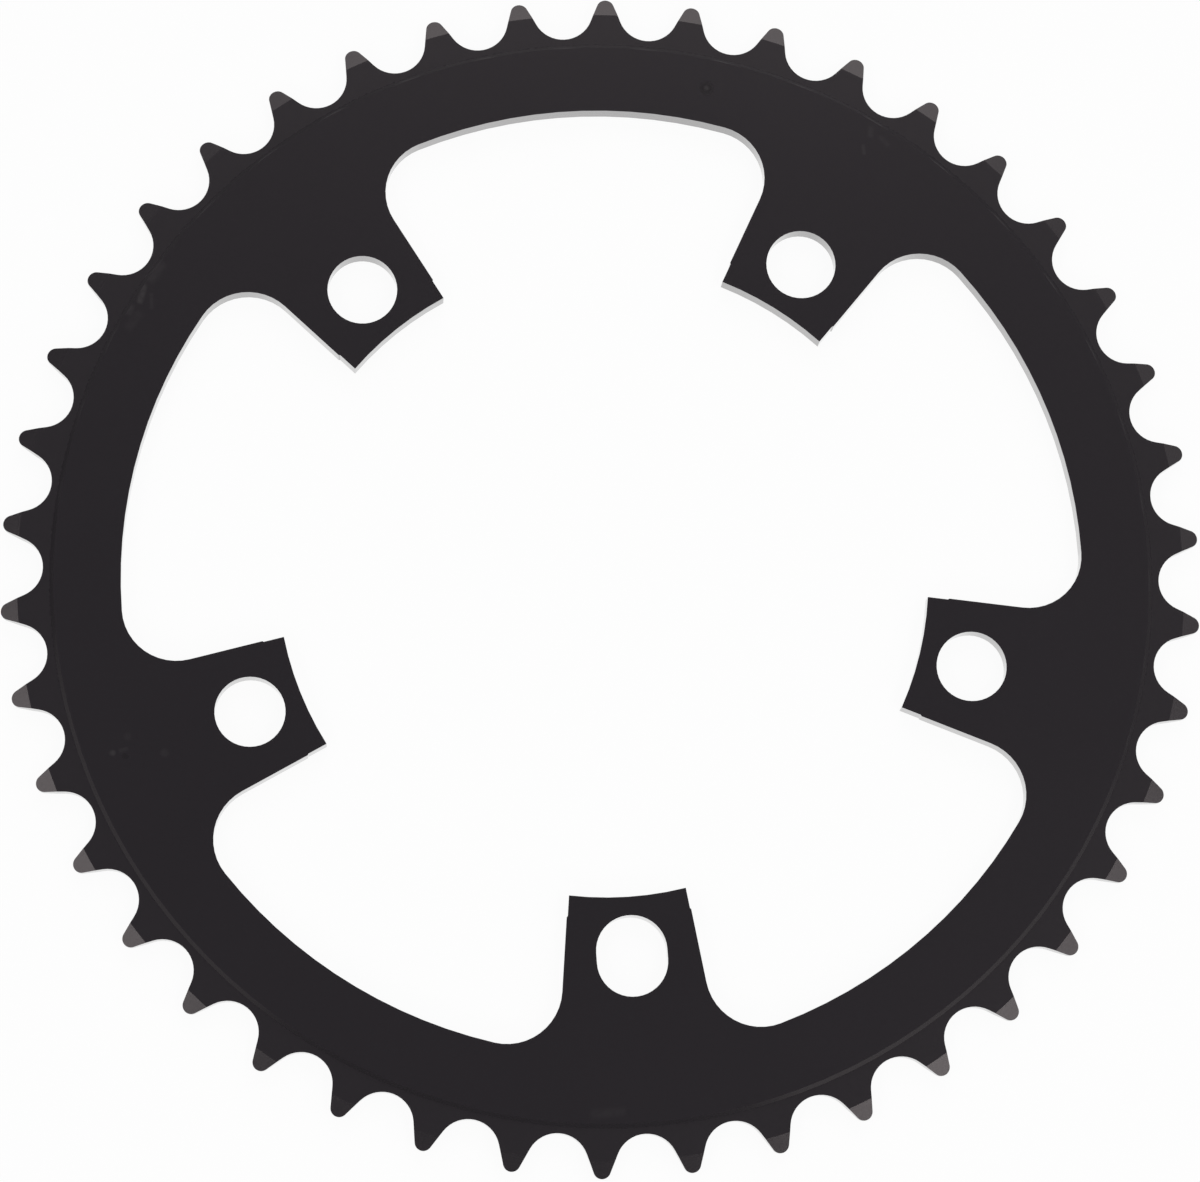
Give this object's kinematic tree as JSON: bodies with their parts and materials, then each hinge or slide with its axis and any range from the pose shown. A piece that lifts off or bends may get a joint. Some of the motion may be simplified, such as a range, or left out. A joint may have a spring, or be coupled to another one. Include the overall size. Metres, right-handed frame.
{
  "type": "bicycle chainring",
  "caption": "Flat toothed ring of black anodised aluminium that drives a bicycle chain, with rounded windows, inward bolt tabs and a slotted bolt hole.",
  "frame": {"origin": "centre of the back face's plane, on the crank's axis", "axes": "+Z along the crank's axis, out of the front face; -Y towards the slotted bolt hole"},
  "size_m": [0.1746, 0.174, 0.003],
  "materials": {
    "anodised_aluminium": "satin black anodised"
  },
  "bodies": {
    "root": {"chainring": "anodised_aluminium"}
  },
  "joints": []
}
